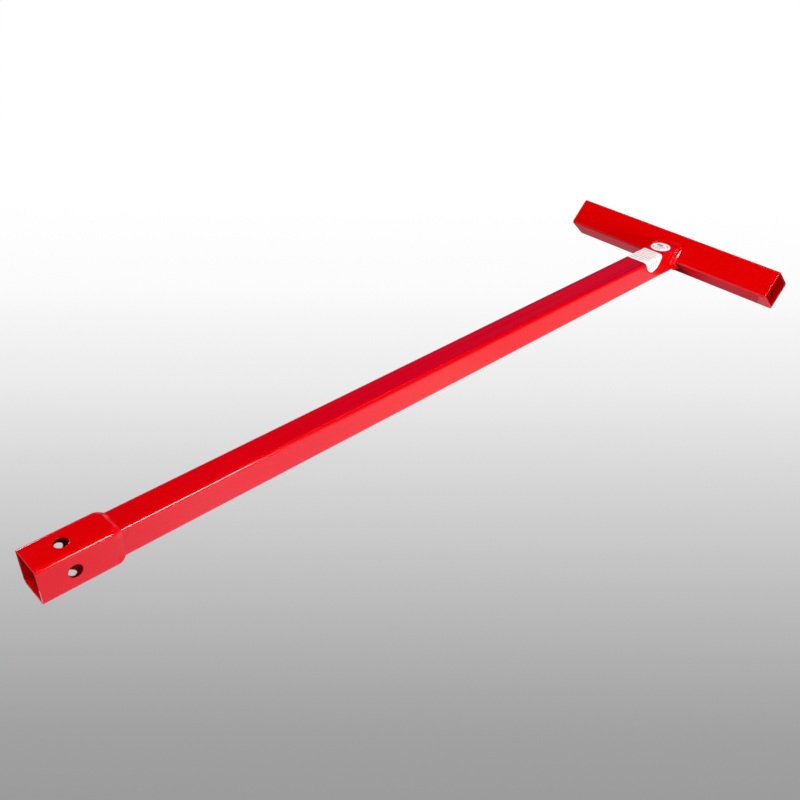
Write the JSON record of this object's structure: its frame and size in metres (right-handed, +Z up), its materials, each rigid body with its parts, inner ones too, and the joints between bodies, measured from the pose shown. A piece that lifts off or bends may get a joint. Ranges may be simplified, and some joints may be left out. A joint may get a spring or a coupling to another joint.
{
  "type": "t-handle bar",
  "caption": "Red square-tube bar with a welded T-handle at one end and a pin-drilled square socket at the other, for driving, pulling or towing a pinned section.",
  "frame": {"origin": "where the two pin bores cross, on the centreline of the socket and shaft", "axes": "+X along the shaft towards the handle, +Y along the handle to the left, +Z up as the bar lies"},
  "size_m": [0.9399, 0.3048, 0.051],
  "materials": {
    "painted_tube": "gloss enamel",
    "painted_weld": "gloss enamel over weld ripple",
    "sticker_film": "printed film, satin",
    "label_film": "printed film, satin"
  },
  "bodies": {
    "root": {"socket_tube": "painted_tube", "shaft_tube": "painted_tube", "handle_tube": "painted_tube", "neck_weld_top": "painted_weld", "neck_weld_right": "painted_weld", "neck_weld_bottom": "painted_weld", "neck_weld_left": "painted_weld", "handle_weld_right": "painted_weld", "handle_weld_left": "painted_weld", "handle_weld_top": "painted_weld", "handle_weld_bottom": "painted_weld", "round_sticker": "sticker_film", "wrap_label": "label_film"}
  },
  "joints": []
}
